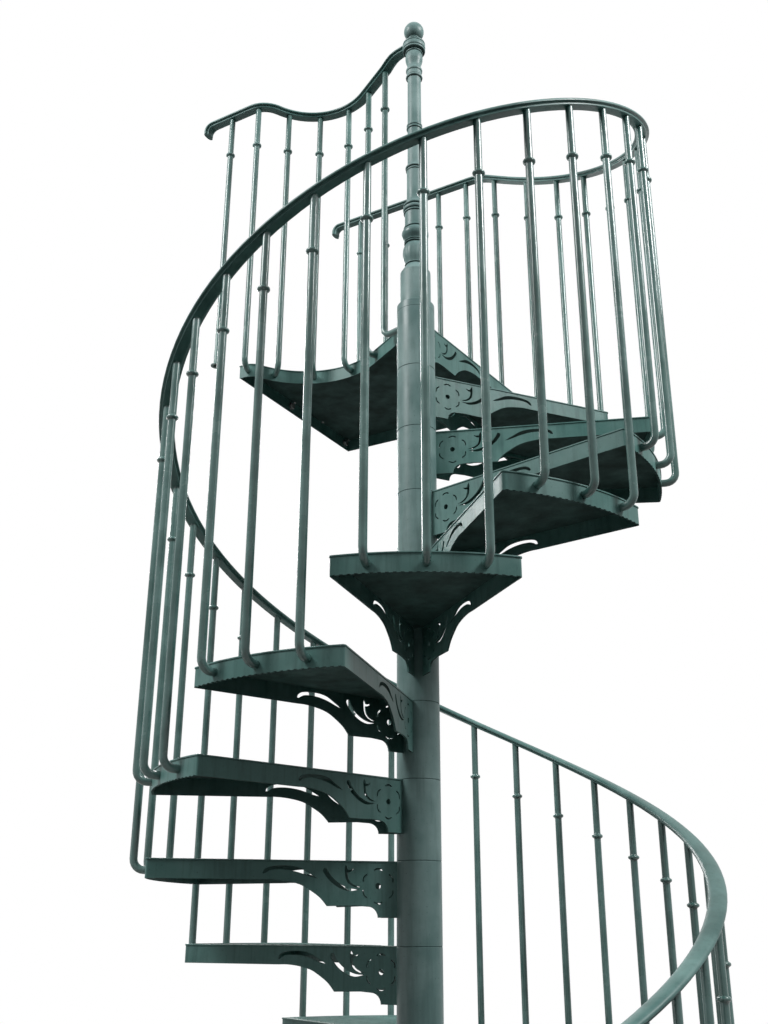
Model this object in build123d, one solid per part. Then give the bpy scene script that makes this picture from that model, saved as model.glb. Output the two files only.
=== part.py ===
from build123d import *
from math import acos, asin, atan, atan2, cos, degrees, hypot, radians, sin, sqrt, tan
import os

# Stair layout, in millimetres and degrees. The stair climbs counter-clockwise seen from above.
rise = 200.0
riser_count = 17
steps_per_turn = 11
first_tread_angle = -60.0
seat_gap = 0.3

# Central column
column_radius = 57.15
column_wall = 6.0
base_radius = 150.0
base_thickness = 15.0
base_bolt_circle = 240.0
base_bolt_count = 4
base_bolt_hole = 14.0

# Curves that repeat many times are drawn in straight runs, to keep the faces few
runs_per_turn = 60
turned_sides = 16
slit_runs = 3

# Cast treads
rim_radius = 682.0
tread_half_angle = 18.2
top_thickness = 4.0
cast_wall = 5.0
rim_depth = 47.0
corner_cut = 8.0

# Lower edge of the side brackets, as distances from the stair axis and depths below the tread top
hub_depth = 134.0
hub_reach = 105.0
cove_radius = 26.0
belly_depth = 108.0
belly_reach = 233.0
swell_reach = 390.0
bracket_runs = 6

# Piercings of the side brackets
flower_reach = 106.0
flower_drop = 63.0
flower_hole = 17.0
flower_sides = 6
leaf_root = (147.0, -65.0)
leaf_middle = (202.0, -64.0)
leaf_tip = (241.0, -29.0)
stem_root = (156.0, -67.0)
stem_middle = (180.0, -53.0)
stem_tip = (185.0, -20.0)
tulip_slit = 7.0
swoosh_root = (260.0, -48.0)
swoosh_crown = (335.0, -22.0)
swoosh_tip = (396.0, -38.0)
swoosh_slit = 9.5

# Balusters
bar_diameter = 20.0
bar_sides = 8
bar_gap = 27.5
bars_per_tread = 3
foot_drop = 25.0
foot_bend_radius = 28.0

# Handrail: height of its underside above a tread's middle, and its section
rail_over_tread = 1061.0
rail_over_landing = 1025.0
rail_width = 44.0
cap_height = 13.0
cap_edge = 3.0
cap_shoulder = 8.0
rib_width = 28.0
rib_height = 7.0
rail_end_drop = 40.0
rail_end_reach = 45.0
rail_bend_radius = 16.0
rail_bend_runs = 3
rail_ease_length = 90.0
handrail_pieces = 4

# Landing: straight rear edge against a floor slab, straight far side, scalloped front edge
landing_front_y = -5.0
front_straight = 21.0
bay_centre = (-366.0, -98.0)
bay_radius = 266.0
bay_corner_radius = 52.0
front_rail_run = 29.0
front_bar_spacing = 116.0
front_bar_count = 7
first_front_bar = 140.0
front_rail_end_x = -824.0
far_bar_start_x = -34.0
far_bar_spacing = 123.0
far_bar_count = 6
far_rail_end_x = -748.0
slab_bolt_hole = 14.0
slab_bolt_count = 2
slab_bolt_spacing = 360.0
slab_bolt_middle_y = 470.0
slab_bolt_drop = 24.0

# Newel above the landing
newel_boss_height = 25.0
newel_sleeve_radius = 47.0
newel_sleeve_wall = 5.0
newel_sleeve_height = 141.0
rail_collar_radius = 38.5
newel_outline = [
    (newel_sleeve_radius, newel_sleeve_height),
    (30, 172),
    (38.5, 205),
    (38.5, 232),
    (31, 250),
    (42, 276),
    (42, 294),
    (33, 306),
    (33, 366),
    (37.5, 374),
    (37.5, 404),
    (27, 418),
    (27, 534),
    (30, 541),
    (23, 550),
    (23, 905),
    (27.5, 915),
    (27.5, 955),
    (23, 968),
    (29, 990),
    (29, 1015),
    (rail_collar_radius, 1026),
    (rail_collar_radius, 1062),
    (17, 1070),
    (17, 1086),
]
ball_radius = 34.0
ball_bands = 7
ball_top_angle = 78.0

# Sizes that follow from the ones above
step_angle = 360.0 / steps_per_turn
tread_count = riser_count - 1
landing_z = riser_count * rise
landing_angle = first_tread_angle + tread_count * step_angle
nosing_angle = (landing_angle - tread_half_angle) % 360
bar_offset = bar_gap + bar_diameter / 2
rail_radius = rim_radius + bar_offset
rail_slope = rise / (rail_radius * radians(step_angle))
slope_angle = degrees(atan(rail_slope))
landing_rail_z = landing_z + rail_over_landing
rail_height = rib_height + cap_height
bar_step_angle = step_angle / bars_per_tread


def polar(radius, angle, z=0.0):
    return Vector(radius * cos(radians(angle)), radius * sin(radians(angle)), z)


def tread_angle(number):
    return first_tread_angle + (number - 1) * step_angle


def rail_underside(angle):
    """Height of the handrail's underside where the stair has turned to this angle."""
    return rise * (1 + (angle - first_tread_angle) / step_angle) + rail_over_tread


def along(curve, runs):
    """Points that divide a curve into straight runs, its two ends included."""
    return [curve @ (place / runs) for place in range(runs + 1)]


def arc_runs(radius, low, high):
    """Points of an arc round the origin, between two angles, in runs that are shares of a turn."""
    runs = max(1, round(abs(high - low) / 360 * runs_per_turn))
    return [polar(radius, low + (high - low) * place / runs) for place in range(runs + 1)]


def outline(points):
    return make_face(Polyline(*points, close=True))


def crescent(start, middle, end, width):
    """A slit between two bowed edges that meet in points at both ends."""
    chord = Vector(*end) - Vector(*start)
    side = Vector(-chord.Y, chord.X).normalized() * (width / 2)
    over = along(ThreePointArc(start, Vector(*middle) + side, end), slit_runs)
    under = along(ThreePointArc(start, Vector(*middle) - side, end), slit_runs)
    return outline(over + under[-2:0:-1])


def bracket_outline():
    """Side bracket of a tread, drawn with x out from the axis and y up from the tread top."""
    swell_radius = ((swell_reach - belly_reach) ** 2 / (belly_depth - rim_depth) + (belly_depth - rim_depth)) / 2
    swell_centre = Vector(swell_reach, -rim_depth - swell_radius)
    half_turn = asin((swell_reach - belly_reach) / swell_radius) / 2
    swell_middle = swell_centre + Vector(-sin(half_turn), cos(half_turn)) * swell_radius
    swell = ThreePointArc((swell_reach, -rim_depth), swell_middle, (belly_reach, -belly_depth))
    cove_centre = Vector(hub_reach + cove_radius, -belly_depth - cove_radius)
    cove_middle = cove_centre + Vector(-1, 1).normalized() * cove_radius
    cove = ThreePointArc((hub_reach + cove_radius, -belly_depth), cove_middle, (hub_reach, -hub_depth))
    inner_end = column_radius - column_wall / 2
    outer_end = rim_radius - corner_cut
    ends = [(inner_end, -hub_depth), (inner_end, 0), (outer_end, 0), (outer_end, -rim_depth)]
    return outline(ends + along(swell, bracket_runs) + along(cove, bracket_runs // 2))


def piercings():
    """Everything that is pierced through a side bracket: a flower's eye, a tulip of two petals and a leaf."""
    return Sketch() + [
        Pos(flower_reach, -flower_drop) * RegularPolygon(flower_hole / 2, flower_sides),
        crescent(leaf_root, leaf_middle, leaf_tip, tulip_slit),
        crescent(stem_root, stem_middle, stem_tip, tulip_slit),
        crescent(swoosh_root, swoosh_crown, swoosh_tip, swoosh_slit),
    ]


def radial_plane(angle):
    """Vertical plane through the stair axis, x out along the angle and y up."""
    out = polar(1, angle)
    return Plane(origin=(0, 0, 0), x_dir=out, z_dir=(out.Y, -out.X, 0))


def add_brackets(tray, angles):
    """Fuse a pierced bracket along each radial edge; each angle says on which side its wall lies."""
    for angle, inward in angles:
        plane = radial_plane(angle)
        tray += extrude(plane * bracket_outline(), -inward * cast_wall)
    for angle, inward in angles:
        tray -= extrude(radial_plane(angle) * piercings(), 2 * cast_wall, both=True)
    return tray


def wedge_plan(inset=0.0):
    """Plan of a tread, or of the space inside its flange: a wedge with its outer corners cut."""
    reach = rim_radius - inset
    half = tread_half_angle - degrees(asin(inset / reach))
    cut_turn = degrees(corner_cut / rim_radius)
    tip = (inset / sin(radians(tread_half_angle)), 0)
    rim = arc_runs(reach, -half + cut_turn, half - cut_turn)
    return outline([tip, polar(reach - corner_cut, -half), *rim, polar(reach - corner_cut, half)])


def shallow_tray(plan):
    """Top plate with a flange hanging all round its edge, from a function that gives its plan."""
    flange = plan() - plan(cast_wall)
    return extrude(plan(), -top_thickness) + extrude(flange, -rim_depth)


def make_tread():
    tray = add_brackets(shallow_tray(wedge_plan), [(-tread_half_angle, 1), (tread_half_angle, -1)])
    return tray - Cylinder(column_radius, 3 * hub_depth)


def bay_tangent():
    """Angle from the axis of the landing's front edge, and its reach to where the bay begins."""
    centre_distance = hypot(*bay_centre)
    reach = sqrt(centre_distance**2 - bay_radius**2)
    centre_angle = degrees(atan2(bay_centre[1], bay_centre[0])) % 360
    return centre_angle - degrees(asin(bay_radius / centre_distance)), reach


def bend_centre():
    """Centre of the reverse bend that leads from the bay to the straight front edge."""
    y = landing_front_y + bay_corner_radius
    x = bay_centre[0] - sqrt((bay_radius + bay_corner_radius) ** 2 - (y - bay_centre[1]) ** 2)
    return Vector(x, y)


def landing_reach():
    """Distance from the axis to the landing's slab side, a short straight stretch beyond the bend."""
    return front_straight - bend_centre().X


def bay_end_angle():
    """Direction from the bay's centre to where the reverse bend begins."""
    from_bay = bend_centre() - Vector(*bay_centre)
    return degrees(atan2(from_bay.Y, from_bay.X))


def landing_plan(inset=0.0):
    """Plan of the landing, or of the space inside its flange.

    Its sides in turn: nosing edge, arc of the stair, far side, slab side, front edge and scalloped bay.
    """
    front_angle, front_reach = bay_tangent()
    reach = rim_radius - inset
    nosing = nosing_angle + degrees(asin(inset / reach))
    tip_turn = (front_angle - nosing_angle) / 2
    cut_turn = degrees(corner_cut / rim_radius)
    bend = arc_runs(bay_corner_radius - inset, -90, bay_end_angle() - 180)
    bay = arc_runs(bay_radius + inset, bay_end_angle(), front_angle - 90)
    return outline([
        polar(inset / sin(radians(tip_turn)), nosing_angle + tip_turn),
        polar(reach - corner_cut, nosing),
        *arc_runs(reach, nosing + cut_turn, 90),
        (inset - landing_reach(), reach),
        (inset - landing_reach(), landing_front_y + inset),
        *[bend_centre() + point for point in bend],
        *[Vector(*bay_centre) + point for point in bay[1:]],
    ])


def make_landing():
    tray = add_brackets(shallow_tray(landing_plan), [(nosing_angle, 1)])
    bolt_hole = Rot(0, 90, 0) * Cylinder(slab_bolt_hole / 2, 4 * cast_wall)
    for place in range(slab_bolt_count):
        bolt_y = slab_bolt_middle_y + (place - (slab_bolt_count - 1) / 2) * slab_bolt_spacing
        tray -= Pos(-landing_reach(), bolt_y, -slab_bolt_drop) * bolt_hole
    return Pos(0, 0, landing_z) * (tray - Cylinder(column_radius, 3 * hub_depth))


def make_bar(height, foot_length, slope):
    """Upright bar of few sides at the origin, its foot bent out along +X, its top cut to the rail's slope."""
    spare = bar_diameter
    section = Rot(0, 0, 180 / bar_sides) * RegularPolygon(bar_diameter / 2, bar_sides)
    if foot_length > 0:
        bend = foot_bend_radius * tan(radians(22.5)) * 2
        points = [(foot_length, 0, 0), (bend, 0, 0), (0, 0, bend), (0, 0, height + spare)]
        start = Plane(origin=points[0], x_dir=(0, 1, 0), z_dir=(-1, 0, 0))
    else:
        points = [(0, 0, 0), (0, 0, height + spare)]
        start = Plane.XY
    bar = sweep(start * section, Polyline(*points), transition=Transition.RIGHT)
    top = Plane(origin=(0, 0, height - seat_gap), z_dir=(0, tan(radians(slope)), 1))
    return split(bar, bisect_by=top, keep=Keep.BOTTOM)


def stand(bar, place, foot_angle):
    """Put a bar at a point, with its foot pointing along the angle."""
    return Pos(place.X, place.Y, place.Z) * Rot(0, 0, foot_angle) * bar


def tread_bars():
    """The bars of one tread, from its low side to its high side, drawn round the axis."""
    foot_length = bar_offset - seat_gap
    bars = []
    for place in range(bars_per_tread):
        turn = (place - (bars_per_tread - 1) / 2) * bar_step_angle
        height = foot_drop + rail_over_tread + turn / step_angle * rise
        bar = make_bar(height, foot_length, slope_angle)
        bars.append(stand(bar, polar(rail_radius, turn, -foot_drop), turn + 180))
    return bars


def direction(heading, pitch):
    level = cos(radians(pitch))
    return Vector(cos(radians(heading)) * level, sin(radians(heading)) * level, sin(radians(pitch)))


def rail_section():
    """Handrail section: x across, y up from its underside; a cap with sloped shoulders on a narrower rib."""
    half = rail_width / 2
    rib = rib_width / 2
    right = [(rib, 0), (rib, rib_height), (half, rib_height + cap_edge), (half - cap_shoulder, rail_height)]
    return outline(right + [(-x, y) for x, y in reversed(right)])


def rail_through(stations):
    """Rail lofted through its section at each station: a point of its underside, a heading and a pitch."""
    section = rail_section()
    sections = []
    for point, heading, pitch in stations:
        plane = Plane(origin=point, x_dir=direction(heading + 90, 0), z_dir=direction(heading, pitch))
        sections.append(plane * section)
    return loft(sections, ruled=True)


def helix_stations(start_angle, end_angle):
    runs = round((end_angle - start_angle) / 360 * runs_per_turn)
    angles = [start_angle + (end_angle - start_angle) * place / runs for place in range(runs + 1)]
    return [(polar(rail_radius, angle, rail_underside(angle)), angle + 90, slope_angle) for angle in angles]


def turned_down_end(point, heading, pitch):
    """Stations beyond a rail's end point: on along the heading, round a bend and straight down."""
    bend_start = point + direction(heading, pitch) * rail_end_reach
    centre = bend_start - direction(heading, pitch + 90) * rail_bend_radius
    stations = []
    for place in range(rail_bend_runs + 1):
        turned = (pitch + 90) * place / rail_bend_runs
        on_bend = centre + direction(heading, pitch + 90 - turned) * rail_bend_radius
        stations.append((on_bend, heading, pitch - turned))
    foot = stations[-1][0] - Vector(0, 0, rail_end_drop - rail_bend_radius)
    return stations + [(foot, heading, -90)]


def lower_rail_angle():
    overhang = degrees(rail_end_reach / rail_radius) / 2
    return tread_angle(1) - bar_step_angle - overhang


def landing_rail_angle():
    """Turn at which the helical rail runs on into the straight far rail, along the landing's side."""
    return 90.0 + 360.0 * ((landing_angle - 90) // 360)


def handrail_part(number):
    """One length of the helical handrail; the lowest has the turned-down end."""
    low = lower_rail_angle()
    span = (landing_rail_angle() - low) / handrail_pieces
    joint = degrees(seat_gap / rail_radius)
    start = low + number * span + (joint if number else 0)
    stations = helix_stations(start, low + (number + 1) * span)
    if number == 0:
        end = turned_down_end(polar(rail_radius, low, rail_underside(low)), low - 90, -slope_angle)
        stations = [(point, heading + 180, -pitch) for point, heading, pitch in reversed(end)] + stations
    return rail_through(stations)


def far_rail_level_x():
    """Where the climbing far rail becomes level."""
    climb = landing_rail_z - rail_underside(landing_rail_angle())
    return -climb / rail_slope


def make_far_rail():
    start = Vector(-seat_gap, rail_radius, rail_underside(landing_rail_angle()) + seat_gap * rail_slope)
    level = Vector(far_rail_level_x(), rail_radius, landing_rail_z)
    before = level - direction(180, slope_angle) * rail_ease_length / 2
    after = level + direction(180, 0) * rail_ease_length / 2
    middle = (before + level * 2 + after) / 4
    end = Vector(far_rail_end_x + rail_end_reach, rail_radius, landing_rail_z)
    climb = [(start, 180, slope_angle), (before, 180, slope_angle), (middle, 180, slope_angle / 2)]
    return rail_through(climb + [(after, 180, 0)] + turned_down_end(end, 180, 0))


def far_bars():
    """Bars along the landing's far side; the rail is still climbing over the first."""
    bars = []
    for place in range(far_bar_count):
        x = far_bar_start_x - place * far_bar_spacing
        climbing = x > far_rail_level_x()
        slope = slope_angle if climbing else 0
        under = rail_underside(landing_rail_angle()) - x * rail_slope if climbing else landing_rail_z
        bar = make_bar(under - landing_z + foot_drop, bar_offset - seat_gap, slope)
        bars.append(stand(bar, Vector(x, rail_radius, landing_z - foot_drop), -90))
    return bars


def front_path(run):
    """Point and heading of the front rail, at a run along it from its first bar."""
    front_angle, front_reach = bay_tangent()
    radius = bay_radius - bar_offset
    bend_radius = bay_corner_radius + bar_offset
    bay_turn = bay_end_angle() - (front_angle - 90)
    bay_start = first_front_bar
    bend_start = bay_start + radians(bay_turn) * radius
    straight_start = bend_start + radians(bay_end_angle() - 90) * bend_radius
    if run < bay_start:
        tangent = Vector(*bay_centre) + polar(radius, front_angle - 90)
        return tangent - direction(front_angle, 0) * (bay_start - run), front_angle
    if run < bend_start:
        angle = front_angle - 90 + degrees((run - bay_start) / radius)
        return Vector(*bay_centre) + polar(radius, angle), angle + 90
    if run < straight_start:
        angle = bay_end_angle() - 180 - degrees((run - bend_start) / bend_radius)
        return bend_centre() + polar(bend_radius, angle), angle - 90
    straight = Vector(bend_centre().X, landing_front_y - bar_offset)
    return straight + direction(180, 0) * (run - straight_start), 180


def make_front_rail():
    up = Vector(0, 0, landing_rail_z)
    first, heading = front_path(0)
    knee = first - direction(heading, 0) * bar_diameter
    outward = degrees(atan2(knee.Y, knee.X))
    stations = [
        (up + polar(rail_collar_radius + seat_gap, outward), outward, 0),
        (up + knee, (outward + heading) / 2, 0),
    ]
    end_x = front_rail_end_x + rail_end_reach
    run = 0.0
    point = first
    while point.X > end_x:
        stations.append((up + point, heading, 0))
        run += front_rail_run
        point, heading = front_path(run)
    return rail_through(stations + turned_down_end(up + Vector(end_x, point.Y), 180, 0))


def front_bars():
    """Bars along the scalloped front edge. The first foots on the hub, the last stands on the slab."""
    bars = []
    full = rail_over_landing + foot_drop
    bay_bow = bay_radius * (1 - cos(radians(180 / runs_per_turn)))
    for number in range(front_bar_count):
        point, heading = front_path(number * front_bar_spacing)
        if number == 0:
            foot_angle = degrees(atan2(-point.Y, -point.X))
            bar = make_bar(full, point.length - column_radius - seat_gap, 0)
            bars.append(stand(bar, point + Vector(0, 0, landing_z - foot_drop), foot_angle))
        elif point.X < -landing_reach():
            bars.append(stand(make_bar(rail_over_landing, 0, 0), point + Vector(0, 0, landing_z), 0))
        else:
            bar = make_bar(full, bar_offset - seat_gap - bay_bow, 0)
            bars.append(stand(bar, point + Vector(0, 0, landing_z - foot_drop), heading - 90))
    return bars


def make_base_plate():
    plate = Cylinder(base_radius, base_thickness, align=(Align.CENTER, Align.CENTER, Align.MIN))
    holes = PolarLocations(base_bolt_circle / 2, base_bolt_count, start_angle=180 / base_bolt_count)
    return plate - [place * Cylinder(base_bolt_hole / 2, 3 * base_thickness) for place in holes]


def make_column():
    tube = Circle(column_radius) - Circle(column_radius - column_wall)
    return Pos(0, 0, base_thickness) * extrude(tube, landing_z - base_thickness)


def turned(points):
    """A turned length, drawn with flat sides: between each two heights a prism that tapers to its narrow end."""
    prisms = []
    for lower, upper in zip(points, points[1:]):
        widens = upper[0] > lower[0]
        wide, narrow = (upper, lower) if widens else (lower, upper)
        length = abs(narrow[1] - wide[1])
        section = RegularPolygon(wide[0], turned_sides, major_radius=False)
        prism = extrude(section, length, taper=degrees(atan((wide[0] - narrow[0]) / length)))
        prisms.append(Pos(0, 0, wide[1]) * Rot(180 if widens else 0, 0, 0) * prism)
    return Part() + prisms


def make_newel_sleeve():
    """Plain sleeve on a low boss as wide as the column."""
    top = newel_sleeve_height
    inner = newel_sleeve_radius - newel_sleeve_wall
    boss = turned([(column_radius, 0), (column_radius, newel_boss_height)])
    sleeve = turned([(newel_sleeve_radius, newel_boss_height), (newel_sleeve_radius, top)])
    return Pos(0, 0, landing_z) * (boss + sleeve - turned([(inner, -top), (inner, 2 * top)]))


def make_newel():
    """Turned newel from the sleeve's top to the neck under the ball."""
    return Pos(0, 0, landing_z) * turned(newel_outline)


def make_ball():
    neck_radius, neck_top = newel_outline[-1]
    low = -degrees(acos(neck_radius / ball_radius))
    step = (ball_top_angle - low) / ball_bands
    centre_z = neck_top - ball_radius * sin(radians(low))
    points = []
    for band in range(ball_bands + 1):
        angle = radians(low + band * step)
        points.append((ball_radius * cos(angle), centre_z + ball_radius * sin(angle)))
    return Pos(0, 0, landing_z) * turned(points)


def save(name, shape):
    solids = Compound(children=list(shape)) if isinstance(shape, (list, tuple)) else shape
    export_step(solids, f"parts/{name}.step")


os.makedirs("parts", exist_ok=True)

save("base_plate", make_base_plate())
save("column", make_column())

tread = make_tread()
for number in range(1, tread_count + 1):
    save(f"tread_{number:02d}", Pos(0, 0, number * rise) * Rot(0, 0, tread_angle(number)) * tread)

bars = tread_bars()
treads_per_flight = tread_count // handrail_pieces
for flight in range(handrail_pieces):
    flight_bars = []
    for step in range(treads_per_flight):
        number = flight * treads_per_flight + step + 1
        place = Pos(0, 0, number * rise) * Rot(0, 0, tread_angle(number))
        flight_bars += [place * bar for bar in bars]
    save(f"balusters_flight_{flight + 1}", flight_bars)

save("landing_platform", make_landing())
save("landing_front_balusters", front_bars())
save("landing_far_balusters", far_bars())
for number in range(handrail_pieces):
    save(f"handrail_{number + 1}", handrail_part(number))
save("landing_far_rail", make_far_rail())
save("landing_front_rail", make_front_rail())
save("newel_sleeve", make_newel_sleeve())
save("newel_post", make_newel())
save("ball_finial", make_ball())
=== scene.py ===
from math import asin, atan, atan2, cos, degrees, hypot, pi, radians, sin, sqrt, tau

import bmesh
import bpy
from mathutils import Matrix, Vector


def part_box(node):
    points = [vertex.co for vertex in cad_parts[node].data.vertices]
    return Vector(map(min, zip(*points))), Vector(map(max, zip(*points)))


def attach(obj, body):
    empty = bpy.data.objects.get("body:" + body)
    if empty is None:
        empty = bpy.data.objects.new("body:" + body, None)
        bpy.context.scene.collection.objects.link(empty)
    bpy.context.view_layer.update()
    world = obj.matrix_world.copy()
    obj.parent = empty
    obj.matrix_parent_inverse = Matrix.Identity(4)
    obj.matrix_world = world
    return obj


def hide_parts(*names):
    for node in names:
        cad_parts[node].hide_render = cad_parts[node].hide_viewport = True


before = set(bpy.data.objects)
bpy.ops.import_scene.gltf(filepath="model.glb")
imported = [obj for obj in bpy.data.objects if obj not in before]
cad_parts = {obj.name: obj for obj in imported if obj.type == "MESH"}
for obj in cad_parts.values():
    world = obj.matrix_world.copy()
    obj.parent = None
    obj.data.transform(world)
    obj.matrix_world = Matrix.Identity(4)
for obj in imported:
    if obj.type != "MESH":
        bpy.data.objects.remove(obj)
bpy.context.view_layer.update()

bl_info = {
    "name": "Spiral staircase",
    "version": (1, 0, 0),
    "blender": (4, 5, 0),
    "location": "3D View > Sidebar > Staircase",
    "description": "Dresses a cast spiral staircase round its fixed frame",
    "category": "Object",
}

MM = 0.001
COLUMN_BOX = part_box("column")
TREAD_COUNT = sum(name.startswith("tread_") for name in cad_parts)
FLIGHTS = sum(name.startswith("balusters_flight_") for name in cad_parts)


# Sizes and colours

def colour(code):
    """Linear colour, with alpha, of an sRGB hex value such as #35544f."""
    channels = [int(code[place:place + 2], 16) / 255 for place in (1, 3, 5)]
    linear = [c / 12.92 if c <= 0.04045 else ((c + 0.055) / 1.055) ** 2.4 for c in channels]
    return (*linear, 1.0)


def a_length(name, description, millimetres):
    return bpy.props.FloatProperty(
        name=name, description=description, default=millimetres * MM, unit="LENGTH",
        subtype="DISTANCE", precision=4)


def an_angle(name, description, default):
    return bpy.props.FloatProperty(
        name=name, description=description, default=default, unit="ROTATION", subtype="ANGLE")


def a_count(name, description, default):
    return bpy.props.IntProperty(name=name, description=description, default=default, min=1)


def a_colour(name, description, code):
    return bpy.props.FloatVectorProperty(
        name=name, description=description, default=colour(code), size=4, subtype="COLOR",
        min=0, max=1)


class StairSizes(bpy.types.PropertyGroup):
    """Sizes of the staircase that its dressed pieces are drawn from."""

    rise: a_length("Rise", "Height from one tread to the next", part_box("tread_01")[1].z / MM)
    step_angle: an_angle("Step angle", "Turn from one tread to the next", tau / 11)
    first_angle: an_angle("First tread", "Direction of the lowest tread's middle", radians(-60))
    landing_height: a_length("Landing height", "Top of the landing", COLUMN_BOX[1].z / MM)

    rim_radius: a_length("Rim radius", "From the axis to a tread's rim", 682)
    half_angle: an_angle("Tread half angle", "Half the angle that a tread covers", radians(18.2))
    top_thickness: a_length("Top plate", "Thickness of a tread's top plate", 4)
    cast_wall: a_length("Cast wall", "Thickness of rims and brackets", 5)
    rim_depth: a_length("Rim depth", "From a tread's top to its rim's lower edge", 47)
    corner_radius: a_length("Corner radius", "Rounding of a tread's outer corners", 8)
    bracket_stop: a_length("Bracket stop", "How far inside the rim a bracket ends", 28)
    lip: a_length("Lip", "How far the top plate stands out past the rim", 2)
    rib_pitch: a_length("Rib pitch", "Spacing of the non-slip ribs on a tread", 24)
    tooth_pitch: a_length("Tooth pitch", "Spacing of the small teeth under a rim", 17)
    tooth_depth: a_length("Tooth depth", "Height of the small teeth under a rim", 1.6)

    column_radius: a_length("Column radius", "Outside of the sleeves", COLUMN_BOX[1].x / MM)
    column_wall: a_length("Column wall", "Thickness of the stacked sleeves", 6)
    seam: a_length("Seam", "Depth of the groove where two sleeves meet", 1.4)

    boss_height: a_length("Boss height", "Height of the boss under the newel's sleeve", 25)
    sleeve_radius: a_length("Sleeve radius", "Radius of the sleeve round the newel's foot", 47)
    ball_radius: a_length("Ball radius", "Radius of the ball on the newel", 34)

    bar_diameter: a_length("Baluster", "Diameter of a baluster", 20)
    bar_gap: a_length("Baluster gap", "Gap between a rim and the balusters", 27.5)
    foot_drop: a_length("Foot drop", "Depth of a baluster's foot below the tread top", 25)
    foot_bend: a_length("Foot bend", "Radius of the bend in a baluster's foot", 28)
    collar_diameter: a_length("Collar", "Diameter of the ring on a baluster", 32)
    collar_height: a_length("Collar height", "Height of the ring on a baluster", 14)
    collar_drop: a_length("Collar drop", "From the handrail down to the ring", 160)

    rail_over_tread: a_length("Rail over tread", "Handrail's underside above a tread", 1061)
    rail_over_landing: a_length("Rail over landing", "Rail's underside above the landing", 1025)
    rail_drop: a_length("Rail end drop", "How far a rail's end turns down", 28)
    rail_reach: a_length("Rail end reach", "How far a rail runs on before it turns down", 45)
    rail_bend: a_length("Rail bend", "Radius of the bend at a rail's end", 16)
    rail_ease: a_length("Rail ease", "Length over which the far rail becomes level", 90)

    bay_radius: a_length("Bay radius", "Radius of the landing's scalloped front", 266)
    bay_corner: a_length("Bay corner", "Radius of the reverse bend beyond the bay", 52)
    front_spacing: a_length("Front spacing", "Spacing of the bars round the bay", 116)
    front_count: a_count("Front bars", "Number of bars along the landing's front", 7)
    far_spacing: a_length("Far spacing", "Spacing of the bars on the far side", 123)
    far_count: a_count("Far bars", "Number of bars along the far side", 6)


class StairColours(bpy.types.PropertyGroup):
    """Colours of the paint, of what has settled on it, and of painted light and shade."""

    paint: a_colour("Paint", "Blue-green paint of the castings", "#486f6a")
    faded: a_colour("Faded paint", "Paint that has chalked in the light", "#6e8f8b")
    # The column's two colours are paler than the castings': painted light for the bright light on
    # it
    column: a_colour("Column paint", "Paler paint of the column and the newel", "#55716f")
    chalk_and_light: a_colour("Chalked column", "Column paint where it has chalked", "#839a98")
    deep: a_colour("Deep paint", "Paint in corners that stay wet", "#213937")
    # Deeper than the castings' paint: painted shade for the shade the balusters stand in
    bar: a_colour("Baluster paint", "Deeper paint of the balusters", "#3b5f5a")
    # Darker than the castings' paint: painted shade for the shade the rails stand in
    rail: a_colour("Handrail paint", "Darker paint of the rails, worn by hands", "#3c605c")
    # Real dirt, and also the colour of the painted shade on what faces down
    dirt_and_shade: a_colour("Dirt", "Dirt washed down the castings and grime below them", "#101a17")
    dust: a_colour("Dust", "Leaf dust on surfaces that face up", "#5f675c")
    zinc: a_colour("Bolts", "Weathered zinc of the bolts", "#8b8f8e")
    floor: a_colour("Floor", "Pale floor of the stage", "#f4f4f2")


def sizes():
    return bpy.context.scene.stair_sizes


def shade(name):
    """Colour of the group above, by its name."""
    return tuple(getattr(bpy.context.scene.stair_colours, name))


# Materials

def feed(tree, node, inputs):
    """Set or link input sockets of a node."""
    for socket, value in inputs.items():
        if isinstance(value, bpy.types.NodeSocket):
            tree.links.new(value, node.inputs[socket])
        else:
            node.inputs[socket].default_value = value


def add_node(tree, kind, inputs, output=0, **settings):
    """Add a node, set its attributes, feed its inputs and give back one of its outputs."""
    node = tree.nodes.new("ShaderNode" + kind)
    for name, value in settings.items():
        setattr(node, name, value)
    feed(tree, node, inputs)
    return node.outputs[output]


def noise(tree, place, size, detail, **inputs):
    """Noise with lumps about as large as the size."""
    inputs = {"Vector": place, "Scale": 1 / size, "Detail": detail, **inputs}
    return add_node(tree, "TexNoise", inputs, "Fac")


def ranged(tree, value, low, high, to_low=0.0, to_high=1.0, **settings):
    """Value that goes from to_low to to_high while another goes from low to high."""
    return add_node(tree, "MapRange", {
        "Value": value, "From Min": low, "From Max": high, "To Min": to_low, "To Max": to_high},
        "Result", **settings)


def calculated(tree, operation, *values):
    return add_node(tree, "Math", dict(enumerate(values)), "Value", operation=operation)


def blended(tree, share, under, over):
    """Colour between two others."""
    return add_node(tree, "Mix", {"Factor": share, 6: under, 7: over}, 2, data_type="RGBA")


def between(tree, share, start, end):
    """Number between two others."""
    return add_node(tree, "Mix", {"Factor": share, 2: start, 3: end}, 0, data_type="FLOAT")


def bump(tree, height, strength, distance, **inputs):
    inputs = {"Height": height, "Strength": strength, "Distance": distance, **inputs}
    return add_node(tree, "Bump", inputs, "Normal")


def new_material(name):
    """New material with its tree, its shader and the object's coordinates."""
    material = bpy.data.materials.new(name)
    material.use_nodes = True
    tree = material.node_tree
    place = add_node(tree, "TexCoord", {}, "Object")
    return material, tree, tree.nodes["Principled BSDF"], place


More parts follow.
